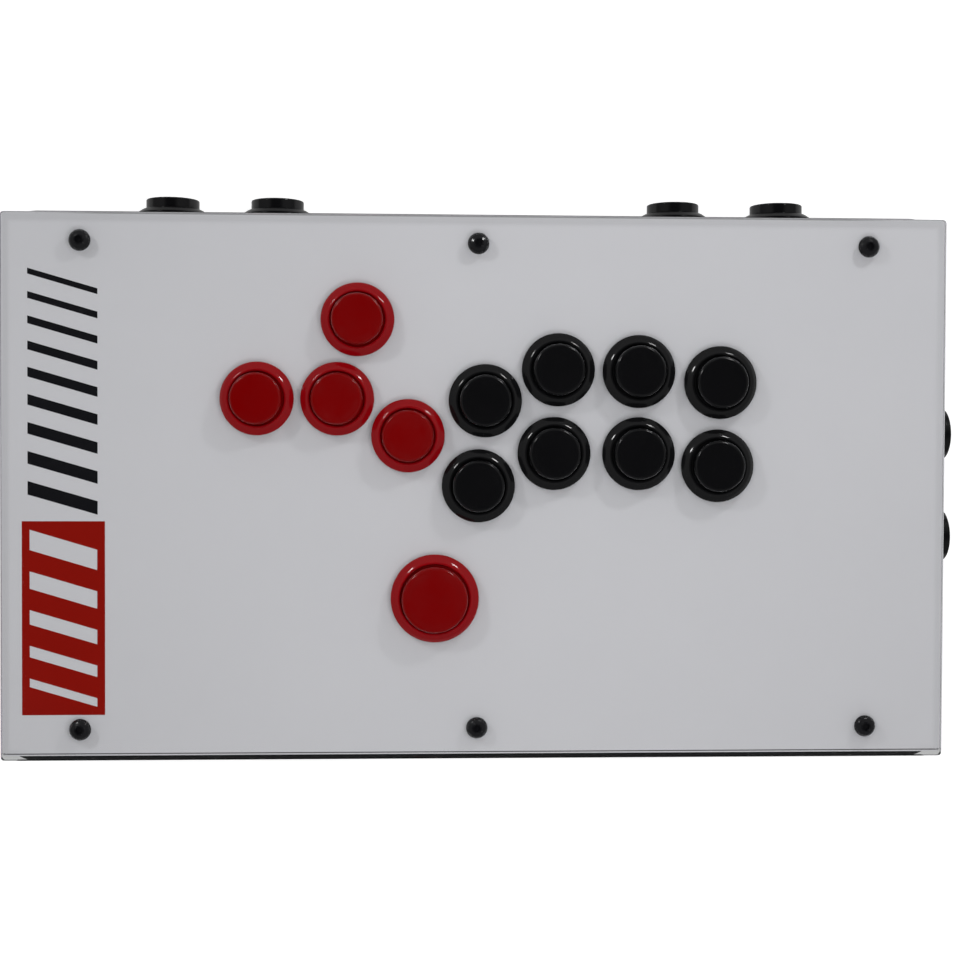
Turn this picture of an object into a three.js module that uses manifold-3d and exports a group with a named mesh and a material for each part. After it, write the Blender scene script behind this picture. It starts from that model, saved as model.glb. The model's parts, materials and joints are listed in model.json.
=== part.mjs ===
// All-button arcade control panel: a low steel case with a clear acrylic
// cover over a printed sheet, 13 push buttons on top, 4 on the rear wall and
// 2 on the right wall, a controller board with a USB socket, and a wiring
// harness. Millimetres, +X right, +Y away from the player, +Z up.
// Z = 0 is the table the rubber feet stand on.
import * as THREE from 'three';
import { mergeVertices } from 'three/addons/utils/BufferGeometryUtils.js';
import Module from 'manifold-3d';

const wasm = await Module();
wasm.setup();

// ---- driving dimensions -------------------------------------------------
// heights of the stack, from the table up
const Z_FOOT = 3.5;          // thickness of a rubber foot, underside of the base plate
const Z_FLOOR = 5;           // top face of the base plate
const Z_TOP_IN = 42.5;       // underside of the case's top plate
const Z_TOP = 44;            // top face of the case's top plate
const Z_SHEET = 44.5;        // top face of the printed sheet
const Z_COVER = 47.5;        // top face of the clear cover

// footprints; the six cover screws are centred on the design axes
const COVER = { x0: -177.75, x1: 178.25, y0: -102.5, y1: 101.85, r: 1.5 };
const SHEET = { x0: -177.5, x1: 178, y0: -101, y1: 101.75, r: 1.25 };
const CASE_X = 178.25, CASE_REAR = 102.75, CASE_FRONT = -103.75, CASE_R = 13;
const WALL = 1.5;

// push buttons: radii and heights, measured outward from the panel they sit on
const TRAVEL = 3;
const SMALL = {
  n: 16, flange: 13.8, mouth: 10.5, bore: 11.15, barrel: 11.8, hole: 12.1,
  cap: 10, lip: 10.85, rim: 2.75, top: 6.5,
};
const LARGE = {
  n: 20, flange: 16.6, mouth: 13.25, bore: 13.95, barrel: 14.8, hole: 15.1,
  cap: 12.7, lip: 13.6, rim: 2.75, top: 6.75,
};
const FLOOR_IN = -12.5, FLOOR_OUT = -14.5;   // floor of the barrel
const SWITCH = { x: 12.5, y: 6.5, bottom: -21 };
const BLADE = { x: 0.75, y: 4.75, pitch: 6.5, bottom: -27 };

// buttons on the top panel: name, x, y, size, colour
const TOP_BUTTONS = [
  ['left', -82.75, 32.75, SMALL, 'red'],
  ['down', -52.75, 32.75, SMALL, 'red'],
  ['up_upper', -45.25, 62.5, SMALL, 'red'],
  ['right', -26.25, 19, SMALL, 'red'],
  ['up_thumb', -16, -42.25, LARGE, 'red'],
  ['action_top_1', 2.75, 32.25, SMALL, 'black'],
  ['action_top_2', 30.25, 44, SMALL, 'black'],
  ['action_top_3', 60.75, 43.5, SMALL, 'black'],
  ['action_top_4', 91.75, 39.5, SMALL, 'black'],
  ['action_bottom_1', 0.25, 0.25, SMALL, 'black'],
  ['action_bottom_2', 28.75, 12.5, SMALL, 'black'],
  ['action_bottom_3', 60.75, 12.5, SMALL, 'black'],
  ['action_bottom_4', 90.75, 8, SMALL, 'black'],
];
const WALL_BUTTON_Z = 27.5;
const REAR_BUTTONS = [['rear_1', -117.5], ['rear_2', -77.25], ['rear_3', 76.75], ['rear_4', 117.5]];
const SIDE_BUTTONS = [['side_rear', 20], ['side_front', -20]];

// fasteners
const COVER_SCREW = { x: 148.25, y: 91.25, head: 4, height: 2.25, shank: 1.9, end: 36.5, hole: 2.2, boss: 4.5 };
const BASE_SCREW = { x: 166.5, rear: 90.5, front: -91.5, head: 2.8, height: 1.75, shank: 1.4, end: 15, hole: 1.75, post: 5 };
const FOOT = { x: 146, y: 78, r: 9 };

// controller board and its USB socket
const BOARD = { x0: -38, x1: 38, y0: 60, y1: 98, z0: 9, z1: 10.5 };
const USB = { w: 12, h: 11, depth: 16, mouth_w: 8.5, mouth_h: 8, mouth_depth: 12 };

// the finished piece is centred on its own bounding box
const CAP_TOP = SMALL.top;
const SHIFT_X = -((CASE_X + CAP_TOP) - CASE_X) / 2;
const SHIFT_Y = -((CASE_REAR + CAP_TOP) + CASE_FRONT) / 2;

// ---- materials ------------------------------------------------------------
const mat = (color, roughness, metalness, extra = {}) =>
  new THREE.MeshStandardMaterial({ color, roughness, metalness, ...extra });
const M = {
  acrylic: mat(0xf2f5f5, 0.05, 0, { transparent: true, opacity: 0.3 }),
  sheet: mat(0xf1f1ef, 0.5, 0),
  steel_black: mat(0x151515, 0.4, 0.3),
  red: mat(0x9a0a14, 0.2, 0),
  red_cap: mat(0x8a0508, 0.25, 0),
  black: mat(0x141416, 0.2, 0),
  black_cap: mat(0x1b1b1e, 0.25, 0),
  screw: mat(0x1a1a1a, 0.35, 0.8),
  zinc: mat(0xb9bcc0, 0.35, 0.9),
  rubber: mat(0x1d1d1d, 0.9, 0),
  board: mat(0x17603a, 0.5, 0),
  shield: mat(0xc8cacc, 0.3, 1),
  wire: mat(0x202024, 0.5, 0),
};

// ---- solid helpers ----------------------------------------------------------
// turn a shape built around Y so that it stands along Z
function upright(geo) {
  const p = geo.getAttribute('position');
  for (let i = 0; i < p.count; i++) {
    const y = p.getY(i), z = p.getZ(i);
    p.setXYZ(i, p.getX(i), -z, y);
  }
  return geo;
}

function solid(geo) {
  let g = geo.index ? geo.clone() : geo.clone();
  for (const k of Object.keys(g.attributes)) if (k !== 'position') g.deleteAttribute(k);
  g = mergeVertices(g, 1e-4);
  const p = g.getAttribute('position').array;
  const src = g.index.array;
  const tri = [];
  let vol = 0;
  for (let i = 0; i < src.length; i += 3) {
    const a = src[i], b = src[i + 1], c = src[i + 2];
    if (a === b || b === c || a === c) continue;
    tri.push(a, b, c);
    const A = 3 * a, B = 3 * b, C = 3 * c;
    vol += p[A] * (p[B + 1] * p[C + 2] - p[B + 2] * p[C + 1])
      - p[A + 1] * (p[B] * p[C + 2] - p[B + 2] * p[C])
      + p[A + 2] * (p[B] * p[C + 1] - p[B + 1] * p[C]);
  }
  if (vol < 0) for (let i = 0; i < tri.length; i += 3) [tri[i + 1], tri[i + 2]] = [tri[i + 2], tri[i + 1]];
  return new wasm.Manifold(new wasm.Mesh({
    numProp: 3, vertProperties: new Float32Array(p), triVerts: new Uint32Array(tri),
  }));
}

function geometry(man) {
  const m = man.getMesh();
  const pos = new Float32Array(m.numVert * 3);
  for (let i = 0; i < m.numVert; i++)
    for (let k = 0; k < 3; k++) pos[3 * i + k] = m.vertProperties[i * m.numProp + k];
  const g = new THREE.BufferGeometry();
  g.setAttribute('position', new THREE.BufferAttribute(pos, 3));
  g.setIndex(new THREE.BufferAttribute(new Uint32Array(m.triVerts), 1));
  g.computeVertexNormals();
  return g;
}

// turned profile: list of [radius, height]
const turned = (profile, n) =>
  solid(upright(new THREE.LatheGeometry(profile.map(([r, z]) => new THREE.Vector2(r, z)), n)));

const rod = (r, z0, z1, n, x = 0, y = 0) =>
  solid(upright(new THREE.CylinderGeometry(r, r, z1 - z0, n)).translate(x, y, (z0 + z1) / 2));

const block = (x0, x1, y0, y1, z0, z1) =>
  solid(new THREE.BoxGeometry(x1 - x0, y1 - y0, z1 - z0)
    .translate((x0 + x1) / 2, (y0 + y1) / 2, (z0 + z1) / 2));

function roundedRect(x0, y0, x1, y1, r) {
  const s = new THREE.Shape();
  s.moveTo(x0 + r, y0);
  s.lineTo(x1 - r, y0);
  s.absarc(x1 - r, y0 + r, r, -Math.PI / 2, 0);
  s.lineTo(x1, y1 - r);
  s.absarc(x1 - r, y1 - r, r, 0, Math.PI / 2);
  s.lineTo(x0 + r, y1);
  s.absarc(x0 + r, y1 - r, r, Math.PI / 2, Math.PI);
  s.lineTo(x0, y0 + r);
  s.absarc(x0 + r, y0 + r, r, Math.PI, Math.PI * 1.5);
  return s;
}

const slab = (shape, z0, z1, seg = 6, bevel = 0) =>
  solid(new THREE.ExtrudeGeometry(shape, {
    depth: z1 - z0 - 2 * bevel, curveSegments: seg, bevelEnabled: bevel > 0,
    bevelThickness: bevel, bevelSize: bevel, bevelOffset: -bevel, bevelSegments: 1,
  }).translate(0, 0, z0 + bevel));

// turn a solid so that its outward +Z points along +Y (rear) or +X (side)
function faceRear(man) {
  const g = geometry(man), p = g.getAttribute('position');
  for (let i = 0; i < p.count; i++) p.setXYZ(i, -p.getX(i), p.getZ(i), p.getY(i));
  return g;
}
function faceSide(man) {
  const g = geometry(man), p = g.getAttribute('position');
  for (let i = 0; i < p.count; i++) p.setXYZ(i, p.getZ(i), p.getX(i), p.getY(i));
  return g;
}

// ---- assembly groups ----------------------------------------------------------
const panel = new THREE.Group();
panel.name = 'control_panel';
panel.position.set(SHIFT_X, SHIFT_Y, 0);
const root = new THREE.Group();
root.name = 'assembly';
root.add(panel);

function place(name, geo, material, x = 0, y = 0, z = 0, group = panel) {
  const mesh = new THREE.Mesh(geo, material);
  mesh.name = name;
  mesh.position.set(x, y, z);
  group.add(mesh);
  return mesh;
}

// ---- one push button: housing with its snap-in switch, and the plunger -----------
// Both are built with the panel surface at height 0 and the button facing +Z.
function housingSolid(b) {
  let h = turned([
    [0, FLOOR_IN], [b.bore, FLOOR_IN], [b.bore, 0.25], [b.mouth, 0.25], [b.mouth, b.rim - 0.4],
    [b.mouth + 0.4, b.rim], [b.flange - 0.4, 0.9], [b.flange, 0.5], [b.flange, 0],
    [b.barrel, 0], [b.barrel, FLOOR_OUT], [0, FLOOR_OUT],
  ], b.n);
  // switch body snapped under the floor, with its two blade terminals
  h = h.add(block(-SWITCH.x / 2, SWITCH.x / 2, -SWITCH.y / 2, SWITCH.y / 2, SWITCH.bottom, FLOOR_OUT + 0.5));
  for (const s of [-1, 1])
    h = h.add(block(s * BLADE.pitch / 2 - BLADE.x / 2, s * BLADE.pitch / 2 + BLADE.x / 2,
      -BLADE.y / 2, BLADE.y / 2, BLADE.bottom, SWITCH.bottom + 0.5));
  // two snap wings that grip the underside of the panel
  for (const s of [-1, 1]) {
    const wing = new THREE.Shape([
      new THREE.Vector2(b.barrel - 0.75, -5.5), new THREE.Vector2(b.barrel + 1, -5.5),
      new THREE.Vector2(b.barrel + 1, -6.75), new THREE.Vector2(b.barrel - 0.75, -11.5)]);
    const g = new THREE.ExtrudeGeometry(wing, { depth: 6, bevelEnabled: false }).translate(0, 0, -3);
    const p = g.getAttribute('position');
    for (let i = 0; i < p.count; i++) p.setXYZ(i, s * p.getZ(i), s * -p.getX(i), p.getY(i));
    h = h.add(solid(g));
  }
  return h;
}

function plungerSolid(b) {
  return turned([
    [0, b.top], [b.cap - 1, b.top], [b.cap, b.top - 0.9], [b.cap, -0.1], [b.lip, -0.1],
    [b.lip, -4.5], [b.cap - 1.1, -4.5], [b.cap - 1.1, b.top - 1.6], [2.25, b.top - 1.6],
    [2.25, -9], [0, -9],
  ], b.n);
}

const housings = new Map([[SMALL, housingSolid(SMALL)], [LARGE, housingSolid(LARGE)]]);
const plungers = new Map([[SMALL, plungerSolid(SMALL)], [LARGE, plungerSolid(LARGE)]]);

const topGroup = new THREE.Group();
topGroup.position.set(0, 0, Z_COVER);
const rearGroup = new THREE.Group();
rearGroup.position.set(0, CASE_REAR, WALL_BUTTON_Z);
const sideGroup = new THREE.Group();
sideGroup.position.set(CASE_X, 0, WALL_BUTTON_Z);
panel.add(topGroup, rearGroup, sideGroup);

for (const [name, x, y, size, colour] of TOP_BUTTONS) {
  place(`housing_${name}`, geometry(housings.get(size)), M[colour], x, y, 0, topGroup);
  place(`plunger_${name}`, geometry(plungers.get(size)), M[`${colour}_cap`], x, y, 0, topGroup);
}
for (const [name, x] of REAR_BUTTONS) {
  place(`housing_${name}`, faceRear(housings.get(SMALL)), M.black, x, 0, 0, rearGroup);
  place(`plunger_${name}`, faceRear(plungers.get(SMALL)), M.black_cap, x, 0, 0, rearGroup);
}
for (const [name, y] of SIDE_BUTTONS) {
  place(`housing_${name}`, faceSide(housings.get(SMALL)), M.black, 0, y, 0, sideGroup);
  place(`plunger_${name}`, faceSide(plungers.get(SMALL)), M.black_cap, 0, y, 0, sideGroup);
}

// ---- clear cover and printed sheet ---------------------------------------------------
const COVER_SCREWS = [
  ['rear_left', -COVER_SCREW.x, COVER_SCREW.y], ['rear_center', 0, COVER_SCREW.y],
  ['rear_right', COVER_SCREW.x, COVER_SCREW.y], ['front_left', -COVER_SCREW.x, -COVER_SCREW.y],
  ['front_center', 0, -COVER_SCREW.y], ['front_right', COVER_SCREW.x, -COVER_SCREW.y],
];
function drilled(man, z0, z1) {
  for (const [, x, y, size] of TOP_BUTTONS) man = man.subtract(rod(size.hole, z0 - 1, z1 + 1, size.n, x, y));
  for (const [, x, y] of COVER_SCREWS) man = man.subtract(rod(COVER_SCREW.hole, z0 - 1, z1 + 1, 8, x, y));
  return man;
}
place('acrylic_cover', geometry(drilled(
  slab(roundedRect(COVER.x0, COVER.y0, COVER.x1, COVER.y1, COVER.r), Z_SHEET, Z_COVER, 2), Z_SHEET, Z_COVER)), M.acrylic);
place('artwork_sheet', geometry(drilled(
  slab(roundedRect(SHEET.x0, SHEET.y0, SHEET.x1, SHEET.y1, SHEET.r), Z_TOP, Z_SHEET, 2), Z_TOP, Z_SHEET)), M.sheet);

// ---- steel case: top plate, four walls, threaded bosses and corner posts --------------
const BASE_SCREWS = [
  ['rear_left', -BASE_SCREW.x, BASE_SCREW.rear], ['rear_right', BASE_SCREW.x, BASE_SCREW.rear],
  ['front_left', -BASE_SCREW.x, BASE_SCREW.front], ['front_right', BASE_SCREW.x, BASE_SCREW.front],
];
let shell = slab(roundedRect(-CASE_X, CASE_FRONT, CASE_X, CASE_REAR, CASE_R), 0, Z_TOP, 6, 1);
shell = shell.subtract(block(-200, 200, -120, 120, -1, Z_FOOT));
shell = shell.subtract(slab(roundedRect(-CASE_X + WALL, CASE_FRONT + WALL, CASE_X - WALL,
  CASE_REAR - WALL, CASE_R - WALL), Z_FOOT - 1, Z_TOP_IN, 6));
for (const [, x, y] of COVER_SCREWS)
  shell = shell.add(rod(COVER_SCREW.boss, 34.5, Z_TOP_IN + 0.5, 8, x, y));
for (const [, x, y] of BASE_SCREWS)
  shell = shell.add(rod(BASE_SCREW.post, Z_FLOOR, Z_TOP_IN + 0.5, 8, x, y));
shell = drilled(shell, 30, Z_TOP);
for (const [, x, y] of BASE_SCREWS)
  shell = shell.subtract(rod(BASE_SCREW.hole, Z_FLOOR - 1, BASE_SCREW.end + 2, 6, x, y));
const holeDown = rod(SMALL.hole, -WALL - 1, 1, SMALL.n);
const rearHole = faceRear(holeDown), sideHole = faceSide(holeDown);
for (const [, x] of REAR_BUTTONS)
  shell = shell.subtract(solid(rearHole.clone().translate(x, CASE_REAR, WALL_BUTTON_Z)));
for (const [, y] of SIDE_BUTTONS)
  shell = shell.subtract(solid(sideHole.clone().translate(CASE_X, y, WALL_BUTTON_Z)));
shell = shell.subtract(block(-USB.w / 2 - 0.25, USB.w / 2 + 0.25, CASE_REAR - WALL - 1, CASE_REAR + 1,
  BOARD.z1 - 0.25, BOARD.z1 + USB.h + 0.25));
place('case_shell', geometry(shell), M.steel_black);

// ---- base plate with stand-offs for the board -------------------------------------------
const gap = WALL + 0.25;
let base = slab(roundedRect(-CASE_X + gap, CASE_FRONT + gap, CASE_X - gap, CASE_REAR - gap,
  CASE_R - gap), Z_FOOT, Z_FLOOR, 6);
for (const [, x, y] of BASE_SCREWS) base = base.subtract(rod(BASE_SCREW.hole, Z_FOOT - 1, Z_FLOOR + 1, 8, x, y));
for (const x of [BOARD.x0 + 4, BOARD.x1 - 4])
  for (const y of [BOARD.y0 + 4, BOARD.y1 - 8]) base = base.add(rod(2.75, Z_FLOOR - 0.5, BOARD.z0, 6, x, y));
place('base_plate', geometry(base), M.steel_black);

// ---- cover screws: button heads with a hexagon socket --------------------------------------
const S = COVER_SCREW;
const coverScrew = turned([
  [0, S.height], [S.head * 0.55, S.height], [S.head * 0.87, S.height * 0.6], [S.head, 0.25], [S.head, 0],
  [S.shank, 0], [S.shank, S.end - Z_COVER], [0, S.end - Z_COVER],
], 10).subtract(rod(1.45, S.height - 1.4, S.height + 1, 6));
for (const [name, x, y] of COVER_SCREWS) place(`cover_screw_${name}`, geometry(coverScrew), M.screw, x, y, Z_COVER);

// ---- base screws: pan heads under the base plate ----------------------------------------------
const B = BASE_SCREW;
const baseScrew = turned([
  [0, B.end], [B.shank, B.end], [B.shank, Z_FOOT], [B.head, Z_FOOT], [B.head, Z_FOOT - 1],
  [B.head - 0.8, Z_FOOT - B.height], [0, Z_FOOT - B.height],
], 8).subtract(block(-0.4, 0.4, -1.7, 1.7, Z_FOOT - B.height - 1, Z_FOOT - B.height + 0.8));
for (const [name, x, y] of BASE_SCREWS) place(`base_screw_${name}`, geometry(baseScrew), M.zinc, x, y, 0);

// ---- rubber feet ----------------------------------------------------------------------------------
const foot = turned([[0, Z_FOOT], [FOOT.r, Z_FOOT], [FOOT.r, 1.25], [FOOT.r - 1.25, 0], [0, 0]], 12);
for (const [name, i, j] of [['rear_left', -1, 1], ['rear_right', 1, 1], ['front_left', -1, -1], ['front_right', 1, -1]])
  place(`foot_${name}`, geometry(foot), M.rubber, i * FOOT.x, j * FOOT.y, 0);

// ---- controller board with its components ------------------------------------------------------------
let board = block(BOARD.x0, BOARD.x1, BOARD.y0, BOARD.y1, BOARD.z0, BOARD.z1);
board = board.add(block(-5, 5, 66, 76, BOARD.z1 - 0.5, BOARD.z1 + 1.5));      // processor
board = board.add(block(12, 16, 67, 72, BOARD.z1 - 0.5, BOARD.z1 + 2));        // crystal
board = board.add(block(-20, -12, 68, 74, BOARD.z1 - 0.5, BOARD.z1 + 1.5));    // driver
board = board.add(block(-34, -4, BOARD.y0 + 0.5, BOARD.y0 + 5, BOARD.z1 - 0.5, BOARD.z1 + 5));   // button header
board = board.add(block(4, 34, BOARD.y0 + 0.5, BOARD.y0 + 5, BOARD.z1 - 0.5, BOARD.z1 + 5));
place('controller_board', geometry(board), M.board);

// ---- USB socket at the rear wall ------------------------------------------------------------------------
let usb = block(-USB.w / 2, USB.w / 2, CASE_REAR - USB.depth, CASE_REAR, BOARD.z1, BOARD.z1 + USB.h);
const um = BOARD.z1 + (USB.h - USB.mouth_h) / 2;
usb = usb.subtract(block(-USB.mouth_w / 2, USB.mouth_w / 2, CASE_REAR - USB.mouth_depth, CASE_REAR + 1,
  um, um + USB.mouth_h));
usb = usb.add(block(-2.75, 2.75, CASE_REAR - USB.mouth_depth - 0.5, CASE_REAR - 4, um + 2.5, um + 5.5));
place('usb_socket', geometry(usb), M.shield);

// ---- wiring harness: two bundles on the floor with a tail to every switch -----------------------------------
const WZ = 7;                                    // height of the bundles
let wires = null;
const join = (s) => { wires = wires ? wires.add(s) : s; };
const cableX = (x0, x1, y, z, w = 1) => join(block(Math.min(x0, x1) - w, Math.max(x0, x1) + w, y - w, y + w, z - w, z + w));
const cableY = (x, y0, y1, z, w = 1) => join(block(x - w, x + w, Math.min(y0, y1) - w, Math.max(y0, y1) + w, z - w, z + w));
const cableZ = (x, y, z0, z1, w = 1) => join(block(x - w, x + w, y - w, y + w, z0, z1));
const TAIL_TOP = Z_COVER + BLADE.bottom - 0.5;   // just below the terminals of the top buttons
cableX(-82.75, 152, 54, WZ, 1.5);                // cross bundle in front of the board
for (const s of [-19, 19]) { cableY(s, 54, 57.5, WZ, 1); cableZ(s, 57.5, WZ, 13.5); cableY(s, 57.5, 59, 12.75, 0.75); }
for (const [, x, y] of TOP_BUTTONS) { cableY(x, y, 54, WZ, 0.75); cableZ(x, y, WZ, TAIL_TOP, 0.75); }
for (const [, x] of REAR_BUTTONS) {
  if (x < -83) cableX(x, -82, 54, WZ, 1.5);
  const y = CASE_REAR + BLADE.bottom - 1.75;
  cableY(x, 54, y, WZ, 0.75); cableZ(x, y, WZ, WALL_BUTTON_Z, 0.75);
}
for (const [, y] of SIDE_BUTTONS) {
  const x = CASE_X + BLADE.bottom - 1.75;
  cableY(x, y, 54, WZ, 0.75); cableZ(x, y, WZ, WALL_BUTTON_Z, 0.75);
}
place('wiring_harness', geometry(wires), M.wire);

export default root;
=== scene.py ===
import json
import math

import bmesh
import bpy
from mathutils import Euler, Matrix, Vector
from mathutils.geometry import delaunay_2d_cdt


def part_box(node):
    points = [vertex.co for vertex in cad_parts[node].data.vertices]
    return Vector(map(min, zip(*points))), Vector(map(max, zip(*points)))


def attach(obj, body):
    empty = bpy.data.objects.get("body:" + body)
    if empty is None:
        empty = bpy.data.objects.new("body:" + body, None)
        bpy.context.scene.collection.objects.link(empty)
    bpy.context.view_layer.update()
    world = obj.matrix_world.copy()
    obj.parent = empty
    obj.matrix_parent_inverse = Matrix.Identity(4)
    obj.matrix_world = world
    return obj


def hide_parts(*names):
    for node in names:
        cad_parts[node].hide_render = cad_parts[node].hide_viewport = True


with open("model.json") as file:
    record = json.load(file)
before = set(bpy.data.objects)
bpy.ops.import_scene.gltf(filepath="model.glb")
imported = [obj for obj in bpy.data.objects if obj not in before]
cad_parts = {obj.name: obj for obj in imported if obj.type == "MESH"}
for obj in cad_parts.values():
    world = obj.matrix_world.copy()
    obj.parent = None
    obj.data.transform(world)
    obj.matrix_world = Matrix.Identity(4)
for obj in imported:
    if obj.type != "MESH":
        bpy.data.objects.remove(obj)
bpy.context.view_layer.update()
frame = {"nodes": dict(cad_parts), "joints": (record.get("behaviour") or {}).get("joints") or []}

# All-button arcade control panel. Every shape below is worked out in
# millimetres in the row frame and becomes metres when its mesh is made.
MM = 0.001
scene = bpy.context.scene


def box(node):
    lo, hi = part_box(node)
    return lo / MM, hi / MM


# ---------------------------------------------------------------------------
# where things are, read from the frame
# ---------------------------------------------------------------------------
cover_lo, cover_hi = box("acrylic_cover")
sheet_lo, sheet_hi = box("artwork_sheet")
case_lo, case_hi = box("case_shell")
base_lo, base_hi = box("base_plate")
usb_lo, usb_hi = box("usb_socket")
board_lo, board_hi = box("controller_board")
harness_lo, harness_hi = box("wiring_harness")
OX = (cover_lo.x + cover_hi.x) / 2 - 0.25   # the middle of the six cover screws
OY = (cover_lo.y + cover_hi.y) / 2 + 0.325
Z_TOP, Z_SHEET, Z_COVER = case_hi.z, sheet_hi.z, cover_hi.z
Z_FOOT, Z_FLOOR = base_lo.z, base_lo.z + 1.5
WALL = 1.5
CASE_R = 13.0

RED = ("left", "down", "up_upper", "right", "up_thumb")
SMALL = dict(flange=13.8, mouth=10.5, bore=11.15, barrel=11.8, hole=12.1, cap=10.0, lip=10.85, rim=2.75, top=6.5)
LARGE = dict(flange=16.6, mouth=13.25, bore=13.95, barrel=14.8, hole=15.1, cap=12.7, lip=13.6, rim=2.75, top=6.75)


class Button:
    def __init__(self, joint):
        self.name = joint["name"].replace("press_", "")
        self.body = joint["child"]
        self.out = -Vector(joint["axis"]).normalized()
        lo, hi = box("plunger_" + self.name)
        mid = (lo + hi) / 2
        flo, fhi = box("housing_" + self.name)
        across = max(fhi.x - flo.x if self.out.x < 0.5 else fhi.y - flo.y, 0)
        self.size = LARGE if across > 30 else SMALL
        self.red = self.name in RED
        if self.out.z > 0.5:
            self.origin = Vector((mid.x, mid.y, Z_COVER))
            axes = (Vector((1, 0, 0)), Vector((0, 1, 0)), Vector((0, 0, 1)))
        elif self.out.y > 0.5:
            self.origin = Vector((mid.x, case_hi.y, mid.z))
            axes = (Vector((-1, 0, 0)), Vector((0, 0, 1)), Vector((0, 1, 0)))
        else:
            self.origin = Vector((case_hi.x, mid.y, mid.z))
            axes = (Vector((0, 1, 0)), Vector((0, 0, 1)), Vector((1, 0, 0)))
        m = Matrix.Identity(4)
        for i, a in enumerate(axes):
            m.col[i] = (*a, 0)
        m.col[3] = (*self.origin, 1)
        self.matrix = m


buttons = [Button(j) for j in frame["joints"]]
top_buttons = [b for b in buttons if b.out.z > 0.5]
rear_buttons = [b for b in buttons if b.out.y > 0.5]
side_buttons = [b for b in buttons if b.out.x > 0.5]
cover_screws = [n for n in sorted(frame["nodes"]) if n.startswith("cover_screw_")]
base_screws = [n for n in sorted(frame["nodes"]) if n.startswith("base_screw_")]
feet = [n for n in sorted(frame["nodes"]) if n.startswith("foot_")]


def middle(node):
    lo, hi = box(node)
    return (lo + hi) / 2


# ---------------------------------------------------------------------------
# shapes: lists of points and faces, in millimetres
# ---------------------------------------------------------------------------
class Shape:
    def __init__(self):
        self.v, self.f, self.m = [], [], []

    def add(self, verts, faces, mat=0):
        n = len(self.v)
        self.v += [tuple(p) for p in verts]
        self.f += [tuple(i + n for i in f) for f in faces]
        self.m += [mat] * len(faces)
        return self

    def join(self, other, matrix=None, mat=None):
        n = len(self.v)
        flip = matrix is not None and matrix.to_3x3().determinant() < 0
        self.v += [tuple(matrix @ Vector(p)) for p in other.v] if matrix is not None else list(other.v)
        self.f += [tuple(i + n for i in (reversed(f) if flip else f)) for f in other.f]
        self.m += list(other.m) if mat is None else [mat] * len(other.f)
        return self

    def volume(self):
        total = 0.0
        for f in self.f:
            a = Vector(self.v[f[0]])
            for i in range(1, len(f) - 1):
                total += a.dot(Vector(self.v[f[i]]).cross(Vector(self.v[f[i + 1]])))
        return total

    def outward(self):
        if self.volume() < 0:
            self.f = [tuple(reversed(f)) for f in self.f]
        return self


def shift(x, y, z):
    return Matrix.Translation((x, y, z))


def rounded(points, seg=4, closed=False):
    """A polyline of (a, b) or (a, b, radius) with its marked corners rounded."""
    out = []
    n = len(points)
    for i, p in enumerate(points):
        r = p[2] if len(p) > 2 else 0
        if not r or (not closed and i in (0, n - 1)):
            out.append((p[0], p[1]))
            continue
        c = Vector(p[:2])
        a, b = Vector(points[i - 1][:2]) - c, Vector(points[(i + 1) % n][:2]) - c
        half = a.angle(b) / 2
        d = r / math.tan(half)
        ua, ub = a.normalized(), b.normalized()
        mid = c + (ua + ub).normalized() * (r / math.sin(half))
        s, e = c + ua * d - mid, c + ub * d - mid
        sweep = math.pi - 2 * half
        sign = 1 if s.x * e.y - s.y * e.x > 0 else -1
        for k in range(seg + 1):
            t = sign * sweep * k / seg
            ct, st = math.cos(t), math.sin(t)
            q = mid + Vector((s.x * ct - s.y * st, s.x * st + s.y * ct))
            out.append((q.x, q.y))
    return out


def lathe(profile, n=96, phase=0.0, loop=False):
    """Turns (radius, height) points about Z. Points on the axis become poles."""
    s = Shape()
    rings = []
    for r, z in profile:
        if r < 1e-6:
            s.v.append((0.0, 0.0, z))
            rings.append([len(s.v) - 1])
        else:
            start = len(s.v)
            for i in range(n):
                a = phase + 2 * math.pi * i / n
                s.v.append((r * math.cos(a), r * math.sin(a), z))
            rings.append(list(range(start, start + n)))
    pairs = list(zip(rings, rings[1:]))
    if loop:
        pairs.append((rings[-1], rings[0]))
    for a, b in pairs:
        for i in range(n):
            j = (i + 1) % n
            if len(a) == 1 and len(b) == 1:
                continue
            if len(a) == 1:
                s.f.append((a[0], b[j], b[i]))
            elif len(b) == 1:
                s.f.append((a[i], a[j], b[0]))
            else:
                s.f.append((a[i], a[j], b[j], b[i]))
    s.m = [0] * len(s.f)
    return s.outward()


def circle(x, y, r, n=64, phase=0.0):
    return [(x + r * math.cos(phase + 2 * math.pi * i / n), y + r * math.sin(phase + 2 * math.pi * i / n)) for i in range(n)]


def round_rect(x0, y0, x1, y1, r, seg=8):
    pts = []
    for cx, cy, a0 in ((x1 - r, y0 + r, -90), (x1 - r, y1 - r, 0), (x0 + r, y1 - r, 90), (x0 + r, y0 + r, 180)):
        for k in range(seg + 1):
            a = math.radians(a0 + 90 * k / seg)
            pts.append((cx + r * math.cos(a), cy + r * math.sin(a)))
    return pts


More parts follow.
